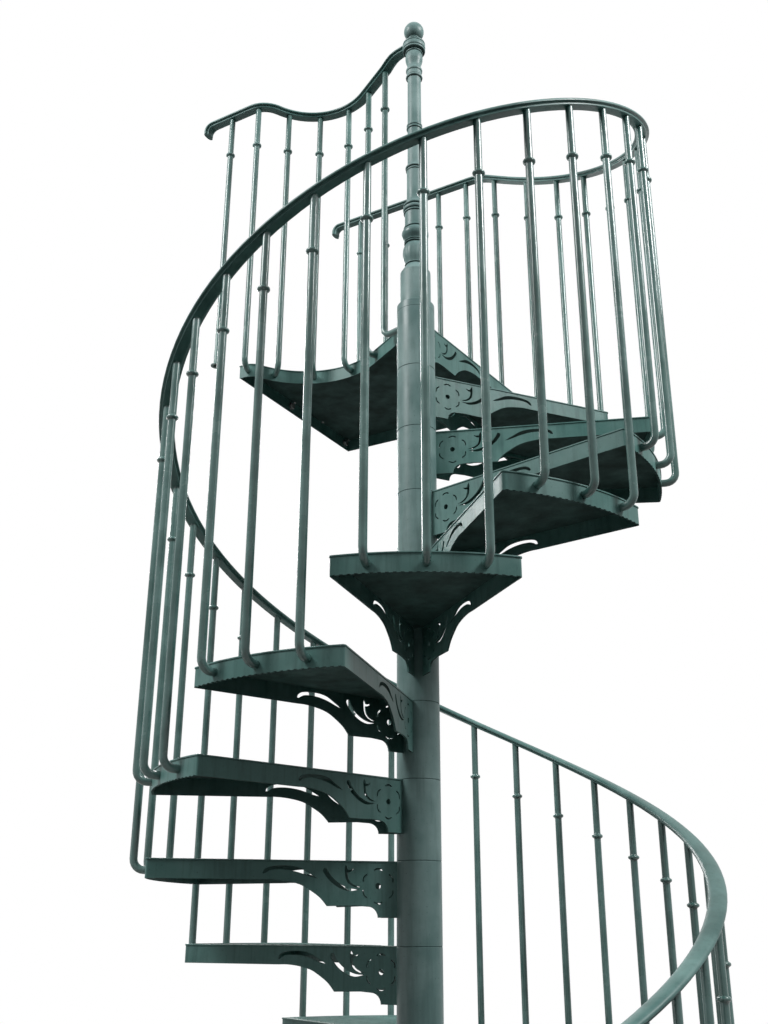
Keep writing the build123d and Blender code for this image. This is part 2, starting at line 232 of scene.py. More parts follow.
def painted_iron(name, base, faded, roughness, streak=0.5, grain=4 * MM, dust=0.65, gloss=0.22,
                 grime_and_shade_below=1.0):
    """Brushed-on enamel over grey cast iron, outdoors for years.

    The eye gets a satin blue-green that is chalky in broad cloudy patches and dark where water
    runs, a faintly lumpy skin from the sand mould under it, and dust where it faces up. Where it
    faces down it is darkened and made matt: painted shade under the castings, partly soiling
    where no rain washes it.
    """
    if name in bpy.data.materials:
        return bpy.data.materials[name]
    material, tree, shader, place = new_material(name)

    # Chalking in clouds about 110 mm across
    clouds = noise(tree, place, 110 * MM, 5.0)
    chalked = ranged(tree, clouds, 0.35, 0.75, to_high=0.75)
    tone = blended(tree, chalked, shade(base), shade(faded))

    # Streaks of dirty water, 18 mm wide and drawn out ten times down the casting
    drawn_out = add_node(tree, "Mapping", {"Vector": place, "Scale": (1.0, 1.0, 0.1)})
    streaks = noise(tree, drawn_out, 18 * MM, 4.0, Roughness=0.6)
    wet = ranged(tree, streaks, 0.50, 0.78, to_high=streak)
    washed = blended(tree, wet, tone, shade("deep"))

    # Specks of dirt and small chips, up to 3 mm across, their edges frayed by the streaks
    specks = add_node(tree, "TexVoronoi", {"Vector": place, "Scale": 1 / (13 * MM)}, "Distance")
    frayed = calculated(tree, "MULTIPLY_ADD", streaks, 0.22, specks)
    chipped = ranged(tree, frayed, 0.24, 0.14, to_high=0.4)
    speckled = blended(tree, chipped, washed, shade("dirt_and_shade"))

    # Dust on what faces up, thin at the edges
    normal = add_node(tree, "NewGeometry", {}, "True Normal")
    facing = add_node(tree, "SeparateXYZ", {"Vector": normal}, "Z")
    upward = ranged(tree, facing, 0.75, 0.98, to_high=dust)
    dusty = calculated(tree, "MULTIPLY", upward, noise(tree, place, 45 * MM, 6.0))
    dusted = blended(tree, dusty, speckled, shade("dust"))

    # Painted shade on what faces down, mottled over 60 mm, partly soiling
    facing_down = ranged(tree, facing, -0.35, -0.95, to_high=grime_and_shade_below)
    mottle = ranged(tree, noise(tree, place, 60 * MM, 4.0), 0.3, 0.7, 0.62, 0.92)
    grime_and_shade = calculated(tree, "MULTIPLY", facing_down, mottle)

    # Sheen that varies with the chalking and is gone under the painted shade below
    sheen = ranged(tree, clouds, 0.3, 0.75, roughness - 0.07, roughness + 0.16)

    # Lumps of the sand mould, and brush marks of the enamel over them
    lumpy = bump(tree, noise(tree, place, grain, 3.0), 0.35, 0.35 * MM)
    brushed = bump(tree, noise(tree, place, 35 * MM, 2.0), 0.5, 1.2 * MM, Normal=lumpy)

    # The base colour takes the painted shade on what faces down
    feed(tree, shader, {
        "Base Color": blended(tree, grime_and_shade, dusted, shade("dirt_and_shade")),
        "Roughness": between(tree, grime_and_shade, sheen, 1.0),
        "Normal": brushed,
        "Specular IOR Level": gloss})
    return material


def casting_paint():
    return painted_iron("painted_cast_iron", "paint", "faded", roughness=0.42)


def column_paint():
    """The same enamel on the column and newel, paler: painted light for the bright light on them.
    """
    return painted_iron(
        "painted_column_castings", "column", "chalk_and_light", roughness=0.4, streak=0.35, gloss=0.3)


def bar_paint():
    """Enamel on drawn steel bars: smoother than on the castings, so it shines in a line."""
    # The deeper bar colour is painted shade
    return painted_iron(
        "painted_steel_bar", "bar", "faded", roughness=0.2, streak=0.2, grain=9 * MM, dust=0.3,
        gloss=0.5, grime_and_shade_below=0.3)


def shaded_rail_paint():
    """Enamel on the moulded handrail, smoother than on the castings, and darker: painted shade."""
    return painted_iron(
        "painted_handrail", "rail", "faded", roughness=0.38, streak=0.25, grain=9 * MM, dust=0.1,
        gloss=0.25, grime_and_shade_below=0.0)


def zinc_plated():
    """Zinc-plated steel bolts, dulled outdoors: grey metal with a soft crystalline mottle."""
    name = "zinc_plated_steel"
    if name in bpy.data.materials:
        return bpy.data.materials[name]
    material, tree, shader, place = new_material(name)
    mottle = noise(tree, place, 6 * MM, 4.0)
    feed(tree, shader, {
        "Base Color": blended(tree, mottle, shade("zinc"), shade("dirt_and_shade")),
        "Metallic": 0.8, "Roughness": 0.5})
    return material


# Mesh helpers. Lengths are metres and angles radians.

PLATE_EASE = 0.6 * MM
LIP_EASE = 0.9 * MM


def polar(radius, angle, z=0.0):
    return Vector((radius * cos(angle), radius * sin(angle), z))


def direction(heading, pitch=0.0):
    return Vector((cos(heading) * cos(pitch), sin(heading) * cos(pitch), sin(pitch)))


def station(point, heading, pitch=0.0):
    """Frame that a section is laid in: x across, y up, z along the heading."""
    across = direction(heading + pi / 2)
    along = direction(heading, pitch)
    matrix = Matrix((across, along.cross(across), along)).transposed().to_4x4()
    matrix.translation = point
    return matrix


def in_metres(points):
    return [tuple(value * MM for value in point) for point in points]


def arc(centre, radius, start, end, steps):
    """Points of an arc in plan, its ends included."""
    x, y = centre[:2]
    angles = [start + (end - start) * step / steps for step in range(steps + 1)]
    return [(x + radius * cos(angle), y + radius * sin(angle)) for angle in angles]


def shares(steps):
    """Even shares from 0 to 1."""
    return [step / steps for step in range(steps + 1)]


def smooth_line(points, steps):
    """Points along a smooth curve through the given ones."""
    ends = [points[0], *points, points[-1]]
    line = [points[0]]
    for near in zip(ends, ends[1:], ends[2:], ends[3:]):
        for t in shares(steps)[1:]:
            line.append(tuple(
                0.5 * (2 * b + (c - a) * t + (2 * a - 5 * b + 4 * c - d) * t * t
                       + (3 * b - a - 3 * c + d) * t ** 3)
                for a, b, c, d in zip(*near)))
    return line


def extrude(mesh, faces, move):
    """Extrude faces as one region with nothing left inside, and move and return what has grown."""
    edges = dict.fromkeys(edge for face in faces for edge in face.edges)
    grown = bmesh.ops.extrude_face_region(mesh, geom=[*faces, *edges])["geom"]
    verts = [part for part in grown if isinstance(part, bmesh.types.BMVert)]
    bmesh.ops.transform(mesh, matrix=move, verts=verts)
    return [part for part in grown if isinstance(part, bmesh.types.BMFace)]


def raised(height):
    return Matrix.Translation((0, 0, height))


def sweep(mesh, section, stations):
    """Closed bar: the section's face is laid in the first station and extruded to the others."""
    ring = [mesh.verts.new(stations[0] @ Vector((x, y, 0))) for x, y in section]
    faces = [mesh.faces.new(ring)]
    for here, there in zip(stations, stations[1:]):
        faces = extrude(mesh, faces, there @ here.inverted())


def turned_piece(profile, sides, place=Matrix(), closed=False):
    """Turned piece: a profile of radius and height, spun full round and then placed."""
    piece = bmesh.new()
    verts = [piece.verts.new((radius, 0, z)) for radius, z in profile]
    pairs = list(zip(verts, verts[1:]))
    if closed:
        pairs.append((verts[-1], verts[0]))
    edges = [piece.edges.new(pair) for pair in pairs]
    bmesh.ops.spin(
        piece, geom=verts + edges, axis=(0, 0, 1), cent=(0, 0, 0), angle=tau, steps=sides,
        use_merge=True)
    bmesh.ops.remove_doubles(piece, verts=piece.verts, dist=1e-6)
    bmesh.ops.transform(piece, matrix=place, verts=piece.verts)
    return piece


def level(edge):
    return abs(edge.verts[0].co.z - edge.verts[1].co.z) < 1e-7


def ease(mesh, edges, width, segments):
    """Take the edges off a casting."""
    bmesh.ops.bevel(
        mesh, geom=edges, offset=width, segments=segments, profile=0.5, affect="EDGES",
        material=-1, clamp_overlap=True)


def pierced_plate(mesh, outline, holes, thickness, place):
    """Flat plate with holes, from its outline in x and y, thickened along z and then placed."""
    plate = bmesh.new()
    edges = []
    for loop in [outline, *holes]:
        verts = [plate.verts.new((x, y, 0)) for x, y in loop]
        edges += [plate.edges.new(pair) for pair in zip(verts, verts[1:] + verts[:1])]
    filled = bmesh.ops.triangle_fill(plate, edges=edges, use_beauty=True)["geom"]
    faces = [part for part in filled if isinstance(part, bmesh.types.BMFace)]
    extrude(plate, faces, raised(thickness))
    bmesh.ops.recalc_face_normals(plate, faces=plate.faces)
    rims = [
        edge for edge in plate.edges
        if edge.is_manifold and abs(edge.calc_face_angle()) > radians(80) and level(edge)]
    ease(plate, rims, PLATE_EASE, 1)
    bmesh.ops.transform(plate, matrix=place, verts=plate.verts)
    join(mesh, plate)


def join(mesh, other):
    """Move everything of another mesh into this one."""
    held = bpy.data.meshes.new("held")
    other.to_mesh(held)
    other.free()
    mesh.from_mesh(held)
    bpy.data.meshes.remove(held)


def add_object(name, data):
    thing = bpy.data.objects.new(name, data)
    bpy.context.scene.collection.objects.link(thing)
    return thing


def add_mesh(name, mesh, material):
    """Object of a finished mesh, which is used up."""
    data = bpy.data.meshes.new(name)
    mesh.to_mesh(data)
    mesh.free()
    data.materials.append(material)
    return add_object(name, data)


def finish_piece(mesh, name, material, replaces=(), sharp=radians(38)):
    """Make the object of a finished mesh, shade it and tie it to the frame."""
    bmesh.ops.recalc_face_normals(mesh, faces=mesh.faces)
    piece = add_mesh(name, mesh, material)
    piece.data.shade_smooth()
    piece.data.set_sharp_from_angle(angle=sharp)
    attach(piece, "root")
    if replaces:
        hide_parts(*replaces)


# Bracket as drawn: millimetres, x out from the axis and y up from the tread's top

COVE_CENTRE = (131, -134)
COVE_RADIUS = 26
BELLY = [(160, -106), (196, -107)]
SWELL = [(233, -108), (251, -88), (276, -71), (301, -58), (335, -50), (368, -46.6), (392, -47)]
FLOWER_CENTRE = (105, -60)
EYE_RADIUS = 7.2
PETAL_ANGLES = [radians(turned) for turned in range(30, 360, 60)]
PETAL_REACH = 28
PETAL_OUTSIDE, PETAL_INSIDE = 15.4, 12.0
PETAL_SPREAD = radians(50)
STEM_OUTSIDE = [(149, -62.5), (161, -59.5), (172, -54), (179, -46), (182, -36), (182.5, -28)]
TULIP = [
    (177, -27.5), (170, -23.5), (167.5, -19.5), (175, -22.3), (181.5, -22), (184, -16),
    (188, -9.5), (190, -18)]
STEM_INSIDE = [(189.5, -27), (188.5, -38), (184.5, -49), (176, -57.5), (163, -63)]
LEAF_OVER = [
    (151, -67.5), (171, -66.5), (190, -61), (208, -51), (222, -39), (231, -27), (236, -18)]
LEAF_UNDER = [
    (174, -72), (191, -69.5), (208, -62.5), (225, -51), (238, -37), (244.5, -26), (243, -19.5)]
LONG_LEAF_OVER = [
    (258, -43.5), (270, -36), (284, -28.5), (301, -19.5), (320, -15), (342, -13.6), (365, -15),
    (383, -19), (393, -26), (395, -33)]
LONG_LEAF_UNDER = [
    (272, -40.5), (285, -36), (301, -30.5), (318, -26.3), (336, -23.6), (353, -22.8),
    (371, -24), (383, -28), (389, -32.5)]


def bowed_slit(upper, lower):
    """Slit between two smooth lines that share their two end points."""
    over = smooth_line(upper, 3)
    under = smooth_line([upper[0], *lower, upper[-1]], 3)
    return over + under[-2:0:-1]


def petal(facing):
    """Arc-shaped slit that draws the outer edge of one petal."""
    middle = arc(FLOWER_CENTRE, PETAL_REACH, facing, facing, 1)[0]
    outer = arc(middle, PETAL_OUTSIDE, facing - PETAL_SPREAD, facing + PETAL_SPREAD, 7)
    inner_spread = PETAL_SPREAD * 0.86
    return outer + arc(middle, PETAL_INSIDE, facing + inner_spread, facing - inner_spread, 6)


def bracket_reach():
    """Distance from the axis to where a side bracket meets the rim's wall."""
    return sizes().rim_radius - sizes().bracket_stop


def reaches_rim(x, y):
    """True beyond the brackets' ends, less a millimetre so that the ends count in."""
    return hypot(x, y) > bracket_reach() - 1 * MM


def bracket_outline():
    """Side bracket: hub, cove, belly, swell and rim."""
    size = sizes()
    hub = (size.column_radius - size.column_wall / 2) / MM
    top = -size.top_thickness / MM
    end = bracket_reach() / MM
    depth = -size.rim_depth / MM
    cove = arc(COVE_CENTRE, COVE_RADIUS, pi, pi / 2, 6)
    return in_metres(
        [(hub, top), (hub, COVE_CENTRE[1]), *cove, *BELLY, *smooth_line(SWELL, 3)[:-1],
         (SWELL[-1][0], depth), (end, depth), (end, top)])


def bracket_piercings():
    """Flower, tulip and two long leaves."""
    eye = arc(FLOWER_CENTRE, EYE_RADIUS, 0, tau, 14)[:-1]
    petals = [petal(angle) for angle in PETAL_ANGLES]
    stem = smooth_line(STEM_OUTSIDE, 2) + TULIP + smooth_line(STEM_INSIDE, 2)
    leaves = [bowed_slit(LEAF_OVER, LEAF_UNDER), bowed_slit(LONG_LEAF_OVER, LONG_LEAF_UNDER)]
    return [in_metres(loop) for loop in [eye, *petals, stem, *leaves]]


def bracket(mesh, angle, side):
    """Pierced bracket along a radial edge; side is 1 where its plate lies left of the radius."""
    size = sizes()
    left = direction(angle + pi / 2)
    # The plate grows along its normal, which points right of the radius
    face = Matrix((direction(angle), Vector((0, 0, 1)), -left)).transposed().to_4x4()
    face.translation = left * (size.lip + size.cast_wall if side > 0 else -size.lip)
    pierced_plate(mesh, bracket_outline(), bracket_piercings(), size.cast_wall, face)


# Treads and landing

RIB_SECTION = in_metres([(3.2, -0.5), (1.8, 1.2), (-1.8, 1.2), (-3.2, -0.5)])
TREAD_RIB_MARGIN = 20 * MM
LANDING_RIB_MARGIN = 22 * MM
INNERMOST_RIB = 150 * MM
RIB_STRETCH = 30 * MM
TOOTHED_BAND = 20 * MM

BAY_CENTRE = Vector((-366 * MM, -98 * MM, 0))
LANDING_FRONT_Y = -5 * MM
SLAB_BEYOND_BEND = 21 * MM
NOSING_BAND = 12 * MM


def tray(mesh, outline, hangs):
    """Top plate with a lip, and a wall under the parts of its edge where hangs(x, y) is true."""
    size = sizes()
    plate = bmesh.new()
    top = plate.faces.new([plate.verts.new((x, y, 0)) for x, y in outline])
    if top.normal.z < 0:
        top.normal_flip()
    extrude(plate, [top], raised(-size.top_thickness))
    bmesh.ops.recalc_face_normals(plate, faces=plate.faces)
    under = min(plate.faces, key=lambda face: face.calc_center_median().z)
    edges = [edge for edge in plate.edges if level(edge)]
    for width in (size.lip, size.cast_wall):
        ring = bmesh.ops.inset_region(
            plate, faces=[under], thickness=width, use_even_offset=True, use_boundary=True)["faces"]
    wall = [face for face in ring if hangs(*face.calc_center_median().xy)]
    depth = size.rim_depth - size.top_thickness - size.tooth_depth
    teeth(plate, extrude(plate, wall, raised(-depth)))
    ease(plate, [edge for edge in edges if edge.is_valid], LIP_EASE, 2)
    join(mesh, plate)


def teeth(plate, feet):
    """Draw every second stretch of a rim's foot down into a small tooth, and other walls whole."""
    size = sizes()

    def drawn_down(face):
        middle = face.calc_center_median()
        stretch = round(atan2(middle.y, middle.x) * size.rim_radius / size.tooth_pitch * 2)
        return stretch % 2 or middle.xy.length < size.rim_radius - TOOTHED_BAND

    extrude(plate, [face for face in feet if drawn_down(face)], raised(-size.tooth_depth))


def corner_turn():
    """Angle that a rounded outer corner takes up."""
    size = sizes()
    return asin(size.corner_radius / (size.rim_radius - size.corner_radius))


def rim_corner(angle, side):
    """Rounded outer corner on a radial edge; side is 1 where the tread lies ahead of it."""
    size = sizes()
    centre = polar(size.rim_radius - size.corner_radius, angle + side * corner_turn())
    ends = [angle - side * pi / 2, angle + side * corner_turn()][::side]
    return arc(centre, size.corner_radius, *ends, 5)


def hub_arc(start, end, steps):
    """Inner edge of a plate, halfway into the column's wall."""
    size = sizes()
    return arc((0, 0), size.column_radius - size.column_wall / 2, start, end, steps)


def on_edge(angle):
    """Point of a radial edge where its bracket ends."""
    return tuple(polar(bracket_reach(), angle).xy)


def tread_outline():
    """Plan of a tread round the x axis, with rounded outer corners."""
    size = sizes()
    half = size.half_angle
    reach = half - corner_turn()
    steps = max(2, round(2 * reach * size.rim_radius / size.tooth_pitch * 2))
    rim = arc((0, 0), size.rim_radius, -reach, reach, steps)
    return (hub_arc(half, -half, 6) + [on_edge(-half)] + rim_corner(-half, 1) + rim[1:-1]
            + rim_corner(half, -1) + [on_edge(half)])


def tread_ribs(mesh):
    """Low raised ribs across a tread, concentric with the stair, to keep a shoe from slipping."""
    size = sizes()
    radius = size.rim_radius - TREAD_RIB_MARGIN
    while radius > INNERMOST_RIB:
        half = size.half_angle - TREAD_RIB_MARGIN / radius
        steps = max(3, round(2 * half * radius / RIB_STRETCH))
        angles = [-half + 2 * half * step / steps for step in range(steps + 1)]
        stations = [station(polar(radius, angle), angle + pi / 2) for angle in angles]
        sweep(mesh, RIB_SECTION, stations)
        radius -= size.rib_pitch


def tread_mesh():
    half = sizes().half_angle
    mesh = bmesh.new()
    tray(mesh, tread_outline(), reaches_rim)
    bracket(mesh, -half, 1)
    bracket(mesh, half, -1)
    tread_ribs(mesh)
    return mesh


def tread_angle(number):
    return sizes().first_angle + (number - 1) * sizes().step_angle


def tread_place(number):
    return raised(number * sizes().rise) @ Matrix.Rotation(tread_angle(number), 4, "Z")


def landing_front_angle():
    """Angle of the landing's front edge, which runs from the axis to touch the bay."""
    turned = asin(sizes().bay_radius / BAY_CENTRE.length)
    return atan2(BAY_CENTRE.y, BAY_CENTRE.x) % tau - turned


def bend_centre():
    """Centre of the reverse bend that leads from the bay to the straight front edge."""
    size = sizes()
    y = LANDING_FRONT_Y + size.bay_corner
    across = sqrt((size.bay_radius + size.bay_corner) ** 2 - (y - BAY_CENTRE.y) ** 2)
    return Vector((BAY_CENTRE.x - across, y, 0))


def bay_end_angle():
    across = bend_centre() - BAY_CENTRE
    return atan2(across.y, across.x)


def landing_reach():
    return SLAB_BEYOND_BEND - bend_centre().x


def nosing_angle():
    return (tread_angle(TREAD_COUNT + 1) - sizes().half_angle) % tau


def landing_outline():
    """Plan of the landing: hub, nosing, arc of the stair, far side, slab side, scalloped front."""
    size = sizes()
    nosing = nosing_angle()
    front = landing_front_angle()
    left = -landing_reach()
    rim = arc((0, 0), size.rim_radius, nosing + corner_turn(), pi / 2, 3)
    bend = arc(bend_centre(), size.bay_corner, -pi / 2, bay_end_angle() - pi, 6)
    bay = arc(BAY_CENTRE, size.bay_radius, bay_end_angle(), front - pi / 2, 28)
    return (hub_arc(front, nosing, 8) + [on_edge(nosing)] + rim_corner(nosing, 1) + rim[1:]
            + [(left, size.rim_radius), (left, LANDING_FRONT_Y)] + bend + bay[1:])


def landing_ribs(mesh, outline):
    """The same ribs on the landing, laid straight between its front edge and its far side."""
    margin = LANDING_RIB_MARGIN
    edges = list(zip(outline, outline[1:] + outline[:1]))
    x = -landing_reach() + margin
    while x < max(x for x, y in outline) - margin:
        crossed = sorted(
            y + (x - here) / (there - here) * (next_y - y)
            for (here, y), (there, next_y) in edges if (here - x) * (there - x) < 0)
        for low, high in zip(crossed[::2], crossed[1::2]):
            if high - low > 4 * margin:
                ends = [Vector((x, low + margin, 0)), Vector((x, high - margin, 0))]
                sweep(mesh, RIB_SECTION, [station(point, pi / 2) for point in ends])
        x += sizes().rib_pitch


def landing_mesh():
    size = sizes()
    nosing = direction(nosing_angle())

    def hangs(x, y):
        beside_nosing = abs(nosing.x * y - nosing.y * x) < NOSING_BAND
        return hypot(x, y) > size.column_radius and (reaches_rim(x, y) or not beside_nosing)

    mesh = bmesh.new()
    tray(mesh, landing_outline(), hangs)
    landing_ribs(mesh, landing_outline())
    bracket(mesh, nosing_angle(), 1)
    return mesh


# Bars and rails

BAR_SIDES = 14
FOOT_SINK = 5 * MM
RAIL_SINK = 6 * MM
# Radius and height of the shoe round a straight bar's foot, in radii of the bar
SHOE_PROFILE = [(0, 0), (1.9, 0), (1.9, 0.25), (1.7, 0.4), (1.15, 0.6), (1.0, 0.8), (0, 0.8)]
# Round bead between two narrow fillets: radius in radii of the bar, share of the half height,
# and share of the reach beyond the bar
RING_PROFILE = [
    (0.98, -1.0, 0), (1.0, -1.0, 0.12), (1.0, -0.80, 0.22), (1.0, -0.66, 0.55),
    (1.0, -0.42, 0.88), (1.0, -0.14, 1.0), (1.0, 0.14, 1.0), (1.0, 0.42, 0.88),
    (1.0, 0.66, 0.55), (1.0, 0.80, 0.22), (1.0, 1.0, 0.12), (0.98, 1.0, 0)]

# Moulded handrail: a crowned cap with rounded edges over a narrower flat rib
RAIL_HEIGHT = 20 * MM
RAIL_RIGHT_HALF = in_metres([
    (13.0, 0.0), (14.0, 1.0), (14.0, 6.2), (14.8, 7.0), (20.2, 7.3), (21.6, 8.4), (22.0, 10.2),
    (21.4, 12.6), (19.4, 15.2), (16.0, 17.6), (11.0, 19.2), (5.6, 19.9)])
RAIL_SECTION = [
    *RAIL_RIGHT_HALF, (0, RAIL_HEIGHT), *((-x, y) for x, y in reversed(RAIL_RIGHT_HALF))]
RAIL_STEP_DEGREES = 3
FRONT_RAIL_STEP = 12 * MM
FRONT_RAIL_START = 10 * MM
# The front rail's curved climb to the newel: its height, and the share beside the newel that
# stays level
FRONT_RAIL_SWEEP = 22 * MM
FRONT_RAIL_FLAT = 0.3
RAIL_IN_NEWEL = 30 * MM
RUN_TO_BAY = 140 * MM
FIRST_FAR_BAR_X = -34 * MM
FRONT_RAIL_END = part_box("landing_front_rail")[0].x
FAR_RAIL_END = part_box("landing_far_rail")[0].x


def rail_radius():
    return sizes().rim_radius + foot_length()


def foot_length():
    """From a rim to the middle of its balusters."""
    return sizes().bar_gap + sizes().bar_diameter / 2


def rail_slope():
    return sizes().rise / (rail_radius() * sizes().step_angle)


def rail_underside(angle):
    size = sizes()
    return size.rise * (1 + (angle - size.first_angle) / size.step_angle) + size.rail_over_tread


def landing_rail_height():
    return sizes().landing_height + sizes().rail_over_landing


def bar(mesh, place, height, foot):
    """Round baluster with its foot bent out along x, if it has one, and a ring under the rail."""
    size = sizes()
    radius = size.bar_diameter / 2
    if foot:
        stations = [station(Vector((foot + FOOT_SINK, 0, 0)), pi)]
        for turned in (share * pi / 2 for share in shares(6)):
            point = Vector((1 - sin(turned), 0, 1 - cos(turned))) * size.foot_bend
            stations.append(station(point, pi, turned))
    else:
        stations = [station(Vector(), pi, pi / 2)]
        join(mesh, turned_piece([(radius * r, radius * z) for r, z in SHOE_PROFILE], 18, place))
    stations.append(station(Vector((0, 0, height + RAIL_SINK)), pi, pi / 2))
    section = arc((0, 0), radius, 0, tau, BAR_SIDES)[:-1]
    sweep(mesh, section, [place @ here for here in stations])
    half = size.collar_height / 2
    reach = size.collar_diameter / 2 - radius
    profile = [(radius * share + reach * bulge, half * z) for share, z, bulge in RING_PROFILE]
    join(mesh, turned_piece(profile, 16, place @ raised(height - size.collar_drop), closed=True))


def tread_bars(mesh, number):
    """Three balusters of one tread."""
    size = sizes()
    for place in (-1, 0, 1):
        turned = place * size.step_angle / 3
        height = size.foot_drop + size.rail_over_tread + turned / size.step_angle * size.rise
        foot = Matrix.Translation(polar(rail_radius(), turned, -size.foot_drop))
        facing = Matrix.Rotation(turned + pi, 4, "Z")
        bar(mesh, tread_place(number) @ foot @ facing, height, foot_length())


def turned_down_end(point, heading, pitch=0.0):
    """Stations beyond a rail's end: on along the heading, round a bend and straight down."""
    size = sizes()
    bend_start = point + direction(heading, pitch) * size.rail_reach
    centre = bend_start - direction(heading, pitch + pi / 2) * size.rail_bend
    stations = []
    for turned in ((pitch + pi / 2) * share for share in shares(8)):
        on_bend = centre + direction(heading, pitch + pi / 2 - turned) * size.rail_bend
        stations.append((on_bend, heading, pitch - turned))
    foot = stations[-1][0] - Vector((0, 0, size.rail_drop - size.rail_bend))
    return stations + [(foot, heading, -pi / 2)]


def rail_mesh(stations):
    mesh = bmesh.new()
    sweep(mesh, RAIL_SECTION, [station(*here) for here in stations])
    return mesh


def lower_rail_angle():
    size = sizes()
    return size.first_angle - size.step_angle / 3 - size.rail_reach / rail_radius() / 2


def landing_rail_angle():
    """Turn at which the helical rail runs on into the straight far rail."""
    return pi / 2 + tau * ((tread_angle(TREAD_COUNT + 1) - pi / 2) // tau)


def handrail_mesh(number):
    """One of the equal lengths of the helical handrail; the lowest has the turned-down end."""
    low = lower_rail_angle()
    span = (landing_rail_angle() - low) / FLIGHTS
    slope = atan(rail_slope())
    steps = round(degrees(span) / RAIL_STEP_DEGREES)
    angles = [low + number * span + span * step / steps for step in range(steps + 1)]
    stations = [
        (polar(rail_radius(), angle, rail_underside(angle)), angle + pi / 2, slope)
        for angle in angles]
    if number == 0:
        end = turned_down_end(stations[0][0], low - pi / 2, -slope)
        stations = [
            (point, heading + pi, -pitch) for point, heading, pitch in reversed(end)] + stations
    return rail_mesh(stations)


def rail_end_x(box_end):
    """Where a rail's turned-down end starts, from the low end of its solid in x."""
    return box_end + RAIL_HEIGHT + sizes().rail_bend + sizes().rail_reach


def curved(start, knee, end, share):
    """Point of the smooth curve that leaves its start towards the knee and ends coming from it."""
    return start * (1 - share) ** 2 + knee * 2 * share * (1 - share) + end * share ** 2


def far_rail_level_x():
    return -(landing_rail_height() - rail_underside(landing_rail_angle())) / rail_slope()


def far_rail_mesh():
    size = sizes()
    slope = atan(rail_slope())
    start = Vector((0, rail_radius(), rail_underside(landing_rail_angle())))
    knee = Vector((far_rail_level_x(), rail_radius(), landing_rail_height()))
    before = knee - direction(pi, slope) * size.rail_ease / 2
    after = knee + direction(pi) * size.rail_ease / 2
    stations = [(start, pi, slope)]
    for t in shares(8):
        stations.append((curved(before, knee, after, t), pi, slope * (1 - t)))
    end = Vector((rail_end_x(FAR_RAIL_END), rail_radius(), landing_rail_height()))
    return rail_mesh(stations + turned_down_end(end, pi))


def front_path(run):
    """Point and heading of the front rail, at a run along it from its first bar."""
    size = sizes()
    front = landing_front_angle()
    bay_start = front - pi / 2
    radius = size.bay_radius - foot_length()
    bend_radius = size.bay_corner + foot_length()
    bend_start = RUN_TO_BAY + (bay_end_angle() - bay_start) * radius
    straight_start = bend_start + (bay_end_angle() - pi / 2) * bend_radius
    if run < RUN_TO_BAY:
        touching = BAY_CENTRE + polar(radius, bay_start)
        return touching - direction(front) * (RUN_TO_BAY - run), front
    if run < bend_start:
        angle = bay_start + (run - RUN_TO_BAY) / radius
        return BAY_CENTRE + polar(radius, angle), angle + pi / 2
    if run < straight_start:
        angle = bay_end_angle() - pi - (run - bend_start) / bend_radius
        return bend_centre() + polar(bend_radius, angle), angle - pi / 2
    straight = Vector((bend_centre().x, LANDING_FRONT_Y - foot_length(), 0))
    return straight + direction(pi) * (run - straight_start), pi


def front_rail_mesh():
    """Rail that sweeps down from the newel, runs round the bay and turns down at the slab."""
    size = sizes()
    up = Vector((0, 0, landing_rail_height()))
    first, heading = front_path(0)
    knee = first - direction(heading) * 2 * size.bar_diameter
    newel_end = polar(RAIL_IN_NEWEL, atan2(knee.y, knee.x))
    stations = []
    for t in shares(10):
        point = curved(newel_end, knee, first, t)
        ahead = (knee - newel_end) * (1 - t) + (first - knee) * t
        eased = pi * max(0.0, (t - FRONT_RAIL_FLAT) / (1 - FRONT_RAIL_FLAT))
        point.z = FRONT_RAIL_SWEEP * (1 + cos(eased)) / 2
        fall = FRONT_RAIL_SWEEP * pi / 2 * sin(eased) / (1 - FRONT_RAIL_FLAT)
        pitch = -atan(fall / (2 * ahead.length))
        stations.append((up + point, atan2(ahead.y, ahead.x), pitch))
    run = FRONT_RAIL_START
    end_x = rail_end_x(FRONT_RAIL_END)
    point, heading = front_path(run)
    while point.x > end_x:
        stations.append((up + point, heading, 0))
        run += FRONT_RAIL_STEP
        point, heading = front_path(run)
    end = up + Vector((end_x, point.y, 0))
    return rail_mesh(stations + turned_down_end(end, pi))


def front_bars_mesh():
    """Bars round the scalloped front. The first foots on the hub, the last stands on the slab."""
    size = sizes()
    mesh = bmesh.new()
    for number in range(size.front_count):
        point, heading = front_path(number * size.front_spacing)
        drop, facing, foot = size.foot_drop, heading - pi / 2, foot_length()
        if number == 0:
            facing, foot = atan2(-point.y, -point.x), point.length - size.column_radius
        elif point.x < -landing_reach():
            drop, facing, foot = 0.0, 0.0, 0.0
        point.z = size.landing_height - drop
        place = Matrix.Translation(point) @ Matrix.Rotation(facing, 4, "Z")
        bar(mesh, place, size.rail_over_landing + drop, foot)
    return mesh


def far_bars_mesh():
    """Bars along the landing's far side; the rail is still climbing over the first."""
    size = sizes()
    mesh = bmesh.new()
    for number in range(size.far_count):
        x = FIRST_FAR_BAR_X - number * size.far_spacing
        under = landing_rail_height()
        if x > far_rail_level_x():
            under = rail_underside(landing_rail_angle()) - x * rail_slope()
        foot = Vector((x, rail_radius(), size.landing_height - size.foot_drop))
        place = Matrix.Translation(foot) @ Matrix.Rotation(-pi / 2, 4, "Z")
        bar(mesh, place, under - foot.z, foot_length())
    return mesh


# Column and newel

SLEEVE_WALL = 5 * MM
SLEEVE_EASE = 1.2 * MM
FLUTES = 12
FLUTE_DEPTH = 0.08
# Heights above the landing between which the newel's lower bulge is fluted, in millimetres
FLUTED = (178, 249)


